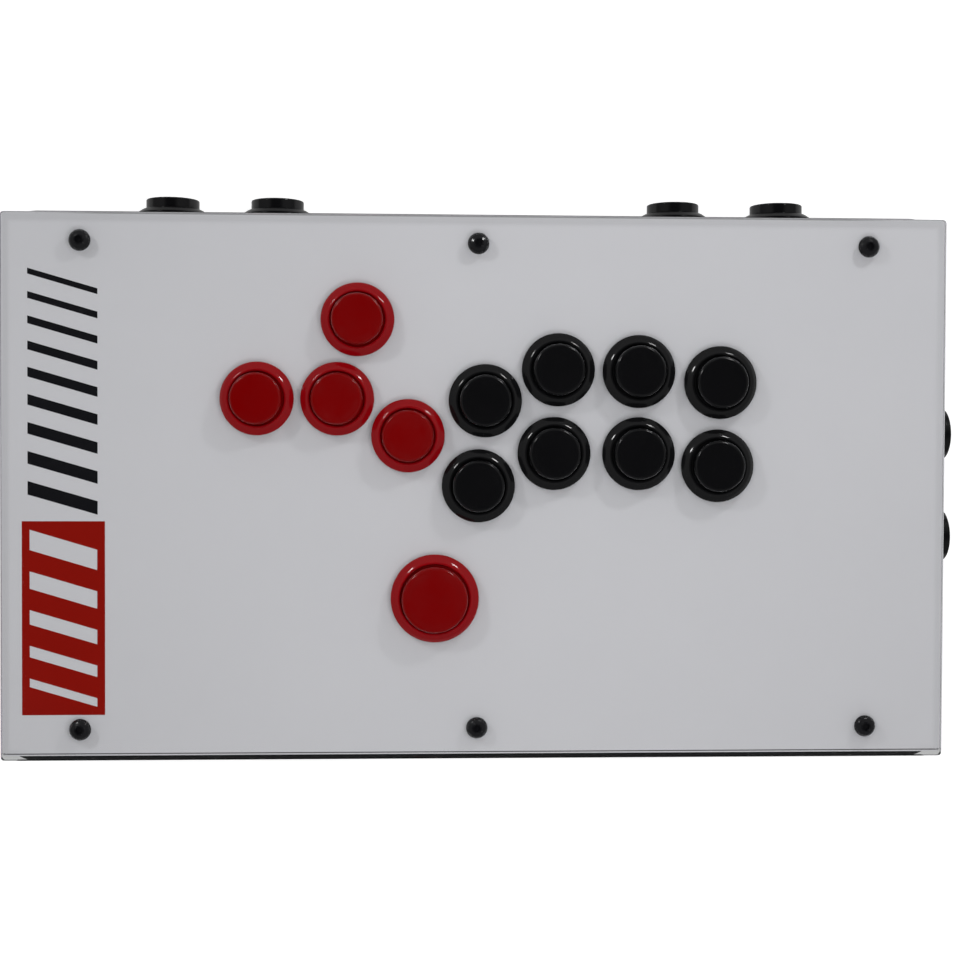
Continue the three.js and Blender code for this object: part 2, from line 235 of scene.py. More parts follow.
def flat(outline, holes=(), z=0.0, extra=()):
    """Triangles that fill an outline but for its holes. extra: more loops whose edges the mesh keeps."""
    loops = [outline, *holes, *extra]
    pts, edges = [], []
    for lp in loops:
        n = len(pts)
        pts += [Vector(p) for p in lp]
        edges += [(n + i, n + (i + 1) % len(lp)) for i in range(len(lp))]
    v, e, f, *_ = delaunay_2d_cdt(pts, edges, [], 1, 1e-7)

    def inside(p, lp):
        hit = False
        j = len(lp) - 1
        for i in range(len(lp)):
            xi, yi, xj, yj = lp[i][0], lp[i][1], lp[j][0], lp[j][1]
            if (yi > p[1]) != (yj > p[1]) and p[0] < (xj - xi) * (p[1] - yi) / (yj - yi) + xi:
                hit = not hit
            j = i
        return hit

    boxes = [(min(p[0] for p in h), max(p[0] for p in h), min(p[1] for p in h), max(p[1] for p in h)) for h in holes]
    faces = []
    for t in f:
        c = sum((v[i] for i in t), Vector((0, 0))) / len(t)
        if not inside(c, outline):
            continue
        if any(b[0] <= c.x <= b[1] and b[2] <= c.y <= b[3] and inside(c, h) for b, h in zip(boxes, holes)):
            continue
        a, b2, c2 = (v[i] for i in t[:3])
        faces.append(tuple(t) if (b2 - a).cross(c2 - a) > 0 else tuple(reversed(t)))
    return [(p.x, p.y, z) for p in v], faces


def prism(levels, holes=(), extra=()):
    """A solid whose outline changes with height: levels is a list of (z, outline) from the bottom up. Holes go straight through."""
    s = Shape()
    z0, z1 = levels[0][0], levels[-1][0]
    v, f = flat(levels[-1][1], holes, z1, extra)
    s.add(v, f)
    v, f = flat(levels[0][1], holes, z0)
    s.add(v, [tuple(reversed(t)) for t in f])
    n = len(levels[0][1])
    for (za, la), (zb, lb) in zip(levels, levels[1:]):
        s.add([(*p, za) for p in la] + [(*p, zb) for p in lb],
              [(i, (i + 1) % n, n + (i + 1) % n, n + i) for i in range(n)])
    for h in holes:
        k = len(h)
        s.add([(*p, z0) for p in h] + [(*p, z1) for p in h],
              [((i + 1) % k, i, k + i, k + (i + 1) % k) for i in range(k)])
    return s


def rbox(x0, x1, y0, y1, z0, z1, r=0.3, seg=3):
    """A block with rounded edges."""
    bm = bmesh.new()
    bmesh.ops.create_cube(bm, size=1)
    for v in bm.verts:
        v.co = Vector((x0 if v.co.x < 0 else x1, y0 if v.co.y < 0 else y1, z0 if v.co.z < 0 else z1))
    if r > 0:
        bmesh.ops.bevel(bm, geom=bm.edges[:], offset=r, segments=seg, profile=0.5, affect="EDGES", clamp_overlap=True)
    bm.verts.index_update()
    s = Shape()
    s.add([v.co.copy() for v in bm.verts], [[v.index for v in f.verts] for f in bm.faces])
    bm.free()
    return s.outward()


def tube(path, r, n=10, caps=True):
    """A round tube along a path of points."""
    s = Shape()
    pts = [Vector(p) for p in path]
    t = (pts[1] - pts[0]).normalized()
    up = Vector((0, 0, 1)) if abs(t.z) < 0.9 else Vector((0, 1, 0))
    side = t.cross(up).normalized()
    rings = []
    for i, p in enumerate(pts):
        d = (pts[min(i + 1, len(pts) - 1)] - pts[max(i - 1, 0)]).normalized()
        side = (side - d * side.dot(d)).normalized()
        up = d.cross(side)
        start = len(s.v)
        for k in range(n):
            a = 2 * math.pi * k / n
            s.v.append(tuple(p + (side * math.cos(a) + up * math.sin(a)) * r))
        rings.append(range(start, start + n))
    for a, b in zip(rings, rings[1:]):
        s.f += [(a[i], a[(i + 1) % n], b[(i + 1) % n], b[i]) for i in range(n)]
    if caps:
        s.f += [tuple(reversed(rings[0])), tuple(rings[-1])]
    s.m = [0] * len(s.f)
    return s.outward()


def bend(points, r=3.0, seg=6):
    """A path through the points whose corners are rounded."""
    pts = [Vector(p) for p in points]
    out = [pts[0]]
    for a, b, c in zip(pts, pts[1:], pts[2:]):
        ua, uc = (a - b), (c - b)
        k = min(r, ua.length * 0.45, uc.length * 0.45)
        p, q = b + ua.normalized() * k, b + uc.normalized() * k
        for i in range(seg + 1):
            t = i / seg
            out.append(p * (1 - t) ** 2 + b * 2 * t * (1 - t) + q * t * t)
    out.append(pts[-1])
    clean = [out[0]]
    for p in out[1:]:
        if (p - clean[-1]).length > 1e-4:
            clean.append(p)
    return clean


# ---------------------------------------------------------------------------
# pieces
# ---------------------------------------------------------------------------
def mesh_of(name, s):
    me = bpy.data.meshes.new(name)
    me.from_pydata([(x * MM, y * MM, z * MM) for x, y, z in s.v], [], s.f)
    if any(s.m):
        me.polygons.foreach_set("material_index", s.m)
    me.validate()
    bm = bmesh.new()
    bm.from_mesh(me)
    bmesh.ops.remove_doubles(bm, verts=bm.verts, dist=1e-7)
    bm.to_mesh(me)
    bm.free()
    return me


def smooth(me, angle=32):
    me.shade_smooth()
    me.set_sharp_from_angle(angle=math.radians(angle))
    me.update()


def cut(me, cutter, op="DIFFERENCE"):
    """The mesh less the cutter shape, which may hold several separate solids."""
    a = bpy.data.objects.new("cut_a", me)
    b = bpy.data.objects.new("cut_b", mesh_of("cut_b", cutter))
    scene.collection.objects.link(a)
    scene.collection.objects.link(b)
    mod = a.modifiers.new("cut", "BOOLEAN")
    mod.operation = op
    mod.solver = "EXACT"
    mod.object = b
    dg = bpy.context.evaluated_depsgraph_get()
    out = bpy.data.meshes.new_from_object(a.evaluated_get(dg))
    bpy.data.objects.remove(a)
    bpy.data.objects.remove(b)
    return out


def piece(name, shape, mats, body="case", replaces=(), angle=32, weighted=True):
    me = shape if isinstance(shape, bpy.types.Mesh) else mesh_of(name, shape)
    me.name = name
    me.materials.clear()
    for m in mats if isinstance(mats, (list, tuple)) else [mats]:
        me.materials.append(m)
    smooth(me, angle)
    ob = bpy.data.objects.new(name, me)
    scene.collection.objects.link(ob)
    if weighted:
        wn = ob.modifiers.new("normals", "WEIGHTED_NORMAL")
        wn.keep_sharp = True
        wn.weight = 50
    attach(ob, body)
    if replaces:
        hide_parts(*([replaces] if isinstance(replaces, str) else replaces))
    return ob


# ---------------------------------------------------------------------------
# materials, all built from nodes
# ---------------------------------------------------------------------------
def srgb(r, g, b):
    def f(c):
        c /= 255
        return c / 12.92 if c <= 0.04045 else ((c + 0.055) / 1.055) ** 2.4
    return (f(r), f(g), f(b), 1.0)


class Nodes:
    def __init__(self, name):
        self.mat = bpy.data.materials.new(name)
        self.mat.use_nodes = True
        self.nt = self.mat.node_tree
        self.p = self.nt.nodes["Principled BSDF"]
        self.out = self.nt.nodes["Material Output"]
        self.co = self.new("ShaderNodeTexCoord").outputs["Object"]

    def new(self, kind, **props):
        n = self.nt.nodes.new(kind)
        for k, v in props.items():
            setattr(n, k, v)
        return n

    def link(self, a, b):
        self.nt.links.new(a, b)

    def noise(self, scale, detail=3.0, rough=0.5, stretch=None, distortion=0.0):
        n = self.new("ShaderNodeTexNoise")
        n.inputs["Scale"].default_value = scale
        n.inputs["Detail"].default_value = detail
        n.inputs["Roughness"].default_value = rough
        n.inputs["Distortion"].default_value = distortion
        src = self.co
        if stretch:
            mp = self.new("ShaderNodeMapping")
            mp.inputs["Scale"].default_value = stretch
            self.link(self.co, mp.inputs["Vector"])
            src = mp.outputs["Vector"]
        self.link(src, n.inputs["Vector"])
        return n.outputs["Fac"]

    def remap(self, value, a, b, c, d, clamp=True):
        n = self.new("ShaderNodeMapRange")
        n.clamp = clamp
        self.link(value, n.inputs["Value"])
        for k, x in zip(("From Min", "From Max", "To Min", "To Max"), (a, b, c, d)):
            n.inputs[k].default_value = x
        return n.outputs["Result"]

    def math(self, op, a, b=None, clamp=False):
        n = self.new("ShaderNodeMath", operation=op, use_clamp=clamp)
        for i, x in enumerate((a, b)):
            if x is None:
                continue
            if isinstance(x, (int, float)):
                n.inputs[i].default_value = x
            else:
                self.link(x, n.inputs[i])
        return n.outputs[0]

    def mix(self, fac, a, b, blend="MIX"):
        n = self.new("ShaderNodeMix", data_type="RGBA", blend_type=blend)
        for i, x in ((0, fac), (6, a), (7, b)):
            if isinstance(x, (int, float)):
                n.inputs[i].default_value = x
            elif isinstance(x, (tuple, list)):
                n.inputs[i].default_value = x
            else:
                self.link(x, n.inputs[i])
        return n.outputs[2]

    def bump(self, height, distance, strength=1.0, normal=None):
        n = self.new("ShaderNodeBump")
        n.inputs["Strength"].default_value = strength
        n.inputs["Distance"].default_value = distance
        self.link(height, n.inputs["Height"])
        if normal is not None:
            self.link(normal, n.inputs["Normal"])
        return n.outputs["Normal"]

    def edges(self, lo=0.515, hi=0.56):
        g = self.new("ShaderNodeNewGeometry")
        return self.remap(g.outputs["Pointiness"], lo, hi, 0, 1)

    def colour(self, socket):
        self.link(socket, self.p.inputs["Base Color"])

    def roughness(self, socket):
        self.link(socket, self.p.inputs["Roughness"])

    def normal(self, socket):
        self.link(socket, self.p.inputs["Normal"])

    def set(self, **values):
        for k, v in values.items():
            self.p.inputs[k.replace("_", " ")].default_value = v


def scaled(c, k):
    return (c[0] * k, c[1] * k, c[2] * k, 1.0)


def moulded(name, colour, rough=0.1, vary=0.1, wear=None, peel=0.0000035, cloud=70, spec=0.5):
    """Injection-moulded nylon: glossy, faintly uneven, with fine scuffs in its shine."""
    n = Nodes(name)
    broad = n.noise(cloud, 3)
    base = n.mix(broad, scaled(colour, 1 - vary), scaled(colour, 1 + vary))
    if wear:
        base = n.mix(n.math("MULTIPLY", n.edges(0.52, 0.62), wear[1]), base, wear[0])
    n.colour(base)
    scuff = n.noise(520, 4, 0.6, stretch=(1, 3.5, 1))
    fine = n.noise(160, 2)
    r = n.math("ADD", n.remap(scuff, 0.45, 0.75, 0, 0.035), n.remap(fine, 0.3, 0.7, rough * 0.75, rough * 1.25))
    n.roughness(r)
    n.normal(n.bump(n.noise(750, 2), peel, 1.0))
    n.set(IOR=1.5, Specular_IOR_Level=spec)
    return n.mat


def powder(name, colour, rough=0.42):
    """Powder coat: a fine orange peel with a few paler rubbed edges."""
    n = Nodes(name)
    broad = n.noise(28, 4)
    base = n.mix(broad, scaled(colour, 0.96), scaled(colour, 1.045))
    worn = n.math("MULTIPLY", n.edges(0.53, 0.66), n.remap(n.noise(180, 3), 0.45, 0.7, 0, 0.35))
    base = n.mix(worn, base, (0.09, 0.09, 0.095, 1))
    n.colour(base)
    n.roughness(n.remap(n.noise(1400, 3), 0.3, 0.7, rough - 0.07, rough + 0.09))
    peel = n.bump(n.noise(1500, 2.5, 0.6), 0.000022, 0.8)
    n.normal(n.bump(n.noise(5200, 2), 0.000008, 0.6, peel))
    n.set(IOR=1.5)
    return n.mat


def metal(name, colour, rough=0.3, metallic=1.0, brush=None, wear=None):
    n = Nodes(name)
    base = n.mix(n.noise(240, 4), scaled(colour, 0.82), scaled(colour, 1.12))
    if wear:
        base = n.mix(n.math("MULTIPLY", n.edges(0.52, 0.6), wear[1]), base, wear[0])
    n.colour(base)
    grain = n.noise(1800, 3, 0.6, stretch=brush or (1, 1, 1))
    n.roughness(n.remap(grain, 0.3, 0.7, rough * 0.75, rough * 1.35))
    n.normal(n.bump(grain, 0.000006, 0.7))
    n.set(Metallic=metallic)
    return n.mat


def dull(name, colour, rough=0.6, vary=0.12, grain=900.0, depth=0.00002, spec=0.5, cloud=90, sheen=0.0):
    n = Nodes(name)
    n.colour(n.mix(n.noise(cloud, 4), scaled(colour, 1 - vary), scaled(colour, 1 + vary)))
    g = n.noise(grain, 3, 0.6)
    n.roughness(n.remap(g, 0.3, 0.7, max(rough - 0.08, 0.02), min(rough + 0.08, 1)))
    n.normal(n.bump(g, depth, 0.8))
    n.set(Specular_IOR_Level=spec)
    if sheen:
        n.set(Sheen_Weight=sheen)
    return n.mat


RED_BEZEL = moulded("moulded_red_bezel", (0.298, 0.0014, 0.0042, 1), 0.085, vary=0.05)
RED_CAP = moulded("moulded_red_plunger", (0.203, 0.0, 0.0004, 1), 0.11, vary=0.05, spec=0.3)
BLACK_BEZEL = moulded("moulded_black_bezel", (0.0062, 0.0062, 0.0068, 1), 0.08, vary=0.12)
# a darker, duller copy of the black bezel plastic for the buttons in the walls: its darker colour is painted shade on
# the same plastic
BLACK_BEZEL_SHADED = moulded("moulded_black_wall_bezel", (0.0042, 0.0042, 0.0046, 1), 0.2, vary=0.12, spec=0.16)
BLACK_CAP = moulded("moulded_black_plunger", (0.0049, 0.0049, 0.0056, 1), 0.11, vary=0.12, spec=0.42)
STEEL = powder("coated_steel_black", (0.0095, 0.0095, 0.0104, 1))
SCREW = metal("black_oxide", (0.0075, 0.0075, 0.009, 1), 0.17, metallic=0.0, wear=((0.08, 0.08, 0.08, 1), 0.2))
ZINC = metal("zinc_plate", (0.62, 0.64, 0.66, 1), 0.3, wear=((0.8, 0.8, 0.8, 1), 0.3))
TIN = metal("tin_plate", (0.68, 0.69, 0.7, 1), 0.26, brush=(1, 6, 1))
BRASS = metal("brass_terminal", (0.66, 0.5, 0.22, 1), 0.3)
GOLD = metal("gold_contact", (0.83, 0.6, 0.2, 1), 0.22)
RUBBER = dull("foot_rubber", (0.018, 0.018, 0.018, 1), 0.82, grain=2200, depth=0.00003, spec=0.25)
SWITCH = dull("switch_body", (0.03, 0.031, 0.034, 1), 0.5, grain=2600, depth=0.00001)
EPOXY = dull("chip_epoxy", (0.016, 0.016, 0.017, 1), 0.62, grain=5200, depth=0.000008)
NYLON = dull("header_nylon", (0.68, 0.66, 0.6, 1), 0.42, grain=1800, depth=0.00001, vary=0.05)
INSERT = dull("socket_insert", (0.012, 0.012, 0.013, 1), 0.38, grain=2600, depth=0.000008)
VINYL = dull("sleeve_vinyl", (0.35, 0.02, 0.02, 1), 0.32, grain=1200, depth=0.00001)
WIRES = [dull("wire_" + k, c, 0.38, grain=1500, depth=0.000008) for k, c in (
    ("black", (0.012, 0.012, 0.012, 1)), ("red", (0.36, 0.012, 0.012, 1)), ("blue", (0.015, 0.05, 0.3, 1)),
    ("yellow", (0.55, 0.38, 0.02, 1)), ("green", (0.02, 0.2, 0.06, 1)), ("white", (0.6, 0.6, 0.58, 1)))]


def make_board_mat():
    n = Nodes("circuit_board")
    green = n.mix(n.noise(60, 3), (0.006, 0.055, 0.022, 1), (0.009, 0.075, 0.03, 1))
    weave = n.new("ShaderNodeTexChecker")
    weave.inputs["Scale"].default_value = 1300
    n.link(n.co, weave.inputs["Vector"])
    track = n.new("ShaderNodeTexBrick")
    track.inputs["Scale"].default_value = 210
    track.inputs["Mortar Size"].default_value = 0.03
    n.link(n.co, track.inputs["Vector"])
    n.colour(n.mix(n.math("MULTIPLY", track.outputs["Fac"], 0.6), green, (0.03, 0.16, 0.06, 1)))
    n.roughness(n.remap(n.noise(800, 2), 0.3, 0.7, 0.25, 0.38))
    n.normal(n.bump(weave.outputs["Fac"], 0.000006, 0.5))
    return n.mat


def make_braid():
    n = Nodes("braided_sleeve")
    w = n.new("ShaderNodeTexWave", wave_type="BANDS", bands_direction="DIAGONAL")
    w.inputs["Scale"].default_value = 520
    w.inputs["Distortion"].default_value = 0.4
    n.link(n.co, w.inputs["Vector"])
    w2 = n.new("ShaderNodeTexWave", wave_type="BANDS", bands_direction="DIAGONAL")
    w2.inputs["Scale"].default_value = 520
    mp = n.new("ShaderNodeMapping")
    mp.inputs["Scale"].default_value = (-1, 1, 1)
    n.link(n.co, mp.inputs["Vector"])
    n.link(mp.outputs["Vector"], w2.inputs["Vector"])
    k = n.math("MAXIMUM", w.outputs["Fac"], w2.outputs["Fac"])
    n.colour(n.mix(k, (0.006, 0.006, 0.007, 1), (0.028, 0.028, 0.032, 1)))
    n.roughness(n.remap(k, 0, 1, 0.75, 0.45))
    n.normal(n.bump(k, 0.00012, 0.9))
    return n.mat


def make_sheet():
    """White printed sheet, with painted shade along its edges. The attribute 'rim' is 1 along the outer edge and dies
    away inside it, darkening the white there as painted shade.
    """
    n = Nodes("printed_white_sheet")
    mottled = n.mix(n.noise(22, 5, 0.6), (0.76, 0.748, 0.780, 1), (0.79, 0.778, 0.810, 1))
    fibre = n.remap(n.noise(3200, 2), 0.3, 0.7, 0.985, 1.015)
    # painted shade: the attribute 'rim' darkens the sheet's white towards its edges
    at = n.new("ShaderNodeAttribute", attribute_name="rim")
    dark = n.remap(at.outputs["Fac"], 0, 5, 1.0, 0.0)
    k = n.math("MULTIPLY", fibre, dark)
    comb = n.new("ShaderNodeCombineColor")
    for i in range(3):
        n.link(k, comb.inputs[i])
    n.colour(n.mix(1.0, mottled, comb.outputs[0], "MULTIPLY"))
    n.roughness(n.remap(n.noise(900, 3), 0.3, 0.7, 0.75, 0.9))
    n.normal(n.bump(n.noise(2600, 2), 0.000006, 0.5))
    n.set(Specular_IOR_Level=0.04)
    return n.mat


def make_ink(name, colour):
    n = Nodes(name)
    n.colour(n.mix(n.noise(35, 4), scaled(colour, 0.93), scaled(colour, 1.07)))
    n.roughness(n.remap(n.noise(1500, 3), 0.3, 0.7, 0.4, 0.55))
    n.normal(n.bump(n.noise(3000, 2), 0.000004, 0.5))
    n.set(Specular_IOR_Level=0.04)
    return n.mat


def make_acrylic():
    """Clear acrylic: bends what is seen through it, and lets lamps straight through to the sheet."""
    n = Nodes("clear_acrylic")
    nt = n.nt
    nt.nodes.remove(n.p)
    glass = n.new("ShaderNodeBsdfGlass")
    glass.inputs["IOR"].default_value = 1.49
    tint = n.mix(n.noise(14, 3), (0.985, 0.99, 0.99, 1), (0.995, 0.998, 0.998, 1))
    n.link(tint, glass.inputs["Color"])
    haze = n.remap(n.noise(900, 5, 0.7, stretch=(1, 7, 1)), 0.62, 0.85, 0.0, 0.03)
    n.link(haze, glass.inputs["Roughness"])
    clear = n.new("ShaderNodeBsdfTransparent")
    clear.inputs["Color"].default_value = (0.97, 0.975, 0.975, 1)
    lp = n.new("ShaderNodeLightPath")
    through = n.math("MAXIMUM", lp.outputs["Is Shadow Ray"], lp.outputs["Is Diffuse Ray"])
    mx = n.new("ShaderNodeMixShader")
    n.link(through, mx.inputs[0])
    n.link(glass.outputs[0], mx.inputs[1])
    n.link(clear.outputs[0], mx.inputs[2])
    n.link(mx.outputs[0], n.out.inputs["Surface"])
    return n.mat


BOARD = make_board_mat()
BRAID = make_braid()
SHEET = make_sheet()
INK_BLACK = make_ink("ink_black", (0.009, 0.009, 0.011, 1))
INK_RED = make_ink("ink_red", (0.33, 0.0075, 0.0035, 1))
ACRYLIC = make_acrylic()


# ---------------------------------------------------------------------------
# push buttons
# ---------------------------------------------------------------------------
def interp(table, x):
    if x <= table[0][0]:
        return table[0][1]
    for (xa, ya), (xb, yb) in zip(table, table[1:]):
        if x <= xb:
            return ya + (yb - ya) * (x - xa) / (xb - xa)
    return table[-1][1]


def bezel_shape(b):
    F, M = b["flange"], b["mouth"] - 0.28
    tilt = [(0.0, 0), (0.3, 19), (0.6, 28), (1.2, 34), (2.2, 38.5), (F - M - 0.44, 40)]
    L = 0.6                                    # radius of the lip round the mouth
    r, z = M + L, b["rim"]
    shoulder = [(r, z)]
    steps = 18
    end = F - 0.14
    dr = (end - r) / steps
    for i in range(steps):
        a = interp(tilt, (i + 0.5) * dr)
        r += dr
        z -= dr * math.tan(math.radians(a))
        shoulder.append((r, z))
    rho = 0.42
    a0 = math.radians(40)
    cx, cz = F - rho, shoulder[-1][1] - rho * math.cos(a0)
    rim = [(cx + rho * math.sin(a), cz + rho * math.cos(a)) for a in [a0 + (math.pi / 2 - a0) * k / 5 for k in range(1, 6)]]
    foot = rounded([(F, 0.3), (F, 0.02, 0.1), (b["barrel"], 0.02)], 3)
    lip = [(M + L - L * math.sin(a), b["rim"] - L + L * math.cos(a)) for a in [math.pi / 2 * k / 7 for k in range(1, 8)]]
    inner = rounded([lip[-1], (M, 0.25, 0.15), (b["bore"], 0.25), (b["bore"], -12.5, 0.5), (0, -12.5)], 3)
    outer = rounded([(b["barrel"], 0.02), (b["barrel"], -1.2), (b["barrel"] - 0.12, -1.3), (b["barrel"] - 0.12, -4.2),
                     (b["barrel"], -4.3), (b["barrel"], -14.5, 0.9), (0, -14.5)], 4)
    profile = list(reversed(inner)) + list(reversed(lip[:-1])) + shoulder + rim + foot[:-1] + outer
    # the list runs from the floor's middle inside, up the bore, over the lip and down the outside
    s = lathe(profile, 112 if b is SMALL else 128)
    # two snap wings on the barrel
    for sgn in (-1, 1):
        R = b["barrel"]
        w = Shape()
        prof = [(R - 0.6, -5.5), (R + 0.75, -5.5), (R + 1.0, -5.75), (R + 1.0, -6.6), (R + 0.85, -7.2), (R - 0.6, -11.5)]
        wide = 3.0
        cols = []
        for x in (-wide, -wide + 0.35, wide - 0.35, wide):
            inset = 0.3 if abs(x) == wide else 0.0
            cols.append([(x * 1.0, sgn * (max(y - inset, R - 0.6)), z - (inset if i in (0, 1) else 0) + (inset if i == 5 else 0))
                         for i, (y, z) in enumerate(prof)])
        pts = [p for c in cols for p in c]
        k = len(prof)
        faces = [tuple(range(k)), tuple(reversed(range(3 * k, 4 * k)))]
        for c in range(3):
            faces += [(c * k + (i + 1) % k, c * k + i, (c + 1) * k + i, (c + 1) * k + (i + 1) % k) for i in range(k)]
        w.add(pts, faces)
        s.join(w.outward())
    return s


def plunger_shape(b, wall=False):
    """The ones in the walls have straight sides and a tighter corner, without the shoulder."""
    C, T, W = b["cap"] - 0.36, b["top"], b["mouth"] - 0.44
    if wall:
        C = W
    head = [(C, T, 0.5)] if wall else [(C, T, 1.15), (C, 1.75, 0.2), (W, 1.62, 0.12)]
    prof = rounded([(0, T), (C * 0.55, T)] + head + [(W, -0.1, 0.0), (b["lip"], -0.1, 0.12), (b["lip"], -4.5, 0.15),
                    (C - 1.1, -4.5, 0.1), (C - 1.1, T - 1.6, 0.6), (2.25, T - 1.6, 0.5), (2.25, -9, 0.6), (0, -9)], 8)
    s = lathe(prof, 112 if b is SMALL else 128)
    # three ribs inside the cap, from the stem to the skirt
    for k in range(3):
        a = math.radians(90 + 120 * k)
        rib = rbox(1.9, C - 0.9, -0.4, 0.4, T - 4.2, T - 1.2, 0.12, 2)
        s.join(rib, Matrix.Rotation(a, 4, "Z"))
    return s


def switch_shape():
    s = Shape()
    body = rbox(-6.25, 6.25, -3.25, 3.25, -20.0, -14.45, 0.35, 3)
    s.join(body, mat=0)
    s.join(rbox(-6.05, 6.05, -3.05, 3.05, -21.0, -19.9, 0.2, 2), mat=0)
    for x in (-4.6, 4.6):                         # the two pins the body turns on
        s.join(lathe(rounded([(0, 0), (0.9, 0), (0.9, 6.9, 0.2), (0, 6.9)], 3), 24),
               Matrix.Translation((x, -3.45, -17.6)) @ Matrix.Rotation(-math.pi / 2, 4, "X"), mat=0)
    for sgn in (-1, 1):
        x = sgn * 3.25
        pts = rounded([(-2.375, -27, 0.8), (2.375, -27, 0.8), (2.375, -20.6), (-2.375, -20.6)], 4, closed=True)
        hole = circle(0, -24.6, 0.75, 20)
        blade = prism([(-0.4, pts), (-0.3, pts), (0.3, pts), (0.4, pts)], [hole])
        m = Matrix(((0, 0, 1, x), (1, 0, 0, 0), (0, 1, 0, 0), (0, 0, 0, 1)))
        s.join(blade, m, mat=1)
    return s


bezels = {id(z): bezel_shape(z) for z in (SMALL, LARGE)}
plungers = {id(z): plunger_shape(z) for z in (SMALL, LARGE)}
wall_plunger = plunger_shape(SMALL, wall=True)
switch = switch_shape()

for b in buttons:
    k = id(b.size)
    spin = b.matrix @ Matrix.Rotation(math.radians(0), 4, "Z")
    s = Shape().join(bezels[k], spin)
    wall = b in rear_buttons or b in side_buttons
    # bezels in the walls take the painted-shade copy of the black plastic
    piece("bezel_" + b.name, s, RED_BEZEL if b.red else BLACK_BEZEL_SHADED if wall else BLACK_BEZEL, replaces="housing_" + b.name,
          angle=30)
    s = Shape().join(switch, b.matrix)
    piece("switch_" + b.name, s, [SWITCH, BRASS], angle=35)
    s = Shape().join(wall_plunger if wall else plungers[k], b.matrix)
    piece("button_" + b.name, s, RED_CAP if b.red else BLACK_CAP, body=b.body, replaces="plunger_" + b.name,
          angle=30)


# ---------------------------------------------------------------------------
# clear cover, printed sheet and its ink
# ---------------------------------------------------------------------------
cover_rear = cover_hi.y


def cover_outline(inset, r=1.5):
    rr = max(r - inset, 0.3)
    return round_rect(cover_lo.x + inset, cover_lo.y - 0.46 + inset, cover_hi.x - inset, cover_rear - inset, rr, 6)


screw_at = [(middle(n).x, middle(n).y) for n in cover_screws]
holes = [circle(b.origin.x, b.origin.y, b.size["hole"], 72) for b in top_buttons]
holes += [circle(x, y, 2.2, 24) for x, y in screw_at]
ch = 0.22
levels = [(Z_SHEET + 0.06, cover_outline(ch * 0.6)), (Z_SHEET + 0.06 + ch * 0.6, cover_outline(0)),
          (Z_COVER - ch, cover_outline(0)), (Z_COVER, cover_outline(ch))]
piece("clear_cover", prism(levels, holes), ACRYLIC, replaces="acrylic_cover", angle=20, weighted=False)


sheet_x0, sheet_x1 = cover_lo.x + 0.06, cover_hi.x - 0.06
sheet_y0, sheet_y1 = sheet_lo.y - 0.58, cover_rear - 0.06


def sheet_outline(inset):
    r = max(1.45 - inset * 0.5, 0.4)
    loop = round_rect(sheet_x0 + inset, sheet_y0 + inset, sheet_x1 - inset, sheet_y1 - inset, r, 4)
    pts = []                                    # long sides carry points of their own, for the shade along them
    for p, q in zip(loop, loop[1:] + loop[:1]):
        n = max(1, round(math.dist(p, q) / 9))
        pts += [(p[0] + (q[0] - p[0]) * k / n, p[1] + (q[1] - p[1]) * k / n) for k in range(n)]
    return pts


# distance in from the sheet's own edge and how much painted shade darkens it there
SIDE_SHADE = [(0.0, 1.0), (1.2, 1.0), (2.0, 0.9), (2.6, 0.45), (3.1, 0.1), (3.9, 0.0)]
# over the case's lip, painted shade greys the sheet's rear edge still more: a dark line at the very edge, then a
# paler grey band
# a fine painted line of shade, dark grey, runs just inside its front edge
FRONT_SHADE = [(0.0, 0.0), (0.45, 0.0), (0.52, 4.1), (0.86, 4.1), (0.96, 0.1), (1.6, 0.0)]
REAR_SHADE = [(0.0, 3.0), (0.3, 3.0), (0.5, 0.55), (1.2, 0.6), (2.3, 0.65), (3.0, 0.35), (3.7, 0.1), (4.5, 0.0)]
edge_shade_loops = [sheet_outline(d) for d in sorted({d for d, _ in SIDE_SHADE[1:] + REAR_SHADE[1:] + FRONT_SHADE[1:]})]
sheet_shape = prism([(Z_TOP + 0.04, sheet_outline(0)), (Z_SHEET, sheet_outline(0))], holes, edge_shade_loops)
sheet_ob = piece("printed_sheet", sheet_shape, SHEET, replaces="artwork_sheet", angle=20, weighted=False)
me = sheet_ob.data
# painted shade along the sheet's edges, stored per vertex as 'rim' for the sheet's material
attr = me.attributes.new("rim", "FLOAT", "POINT")
values = []
for v in me.vertices:
    x, y = v.co.x / MM, v.co.y / MM
    values.append(max([k * interp(SIDE_SHADE, max(d, 0)) for d, k in ((x - sheet_x0, 0.6), (sheet_x1 - x, 0.45))]
                      + [interp(FRONT_SHADE, max(y - sheet_y0, 0)), min(interp(REAR_SHADE, max(sheet_y1 - y, 0)), interp([(140, 2.4), (158, 0.6)], abs(x - OX)))]))
attr.data.foreach_set("value", values)

# a plain pattern of slanted bars along the left edge: nothing here is a letter or a mark
Z_INK = Z_SHEET + 0.02


def ink(name, outlines, mat, holes_in=()):
    s = Shape()
    for o in outlines:
        inner = [h for h in holes_in]
        s.join(prism([(Z_SHEET + 0.002, o), (Z_INK, o)], inner))
    return piece(name, s, mat, angle=20, weighted=False)


gx0, gx1 = OX - 168.1, OX - 142.2           # the printed band's sides
slant = 7.5


def bar(y0, y1, x0=gx0, x1=gx1, lean=slant):
    """A bar across the band whose right end is lean lower than its left."""
    return [(x0, y0 + lean / 2), (x0, y1 + lean / 2), (x1, y1 - lean / 2), (x1, y0 - lean / 2)][::-1]


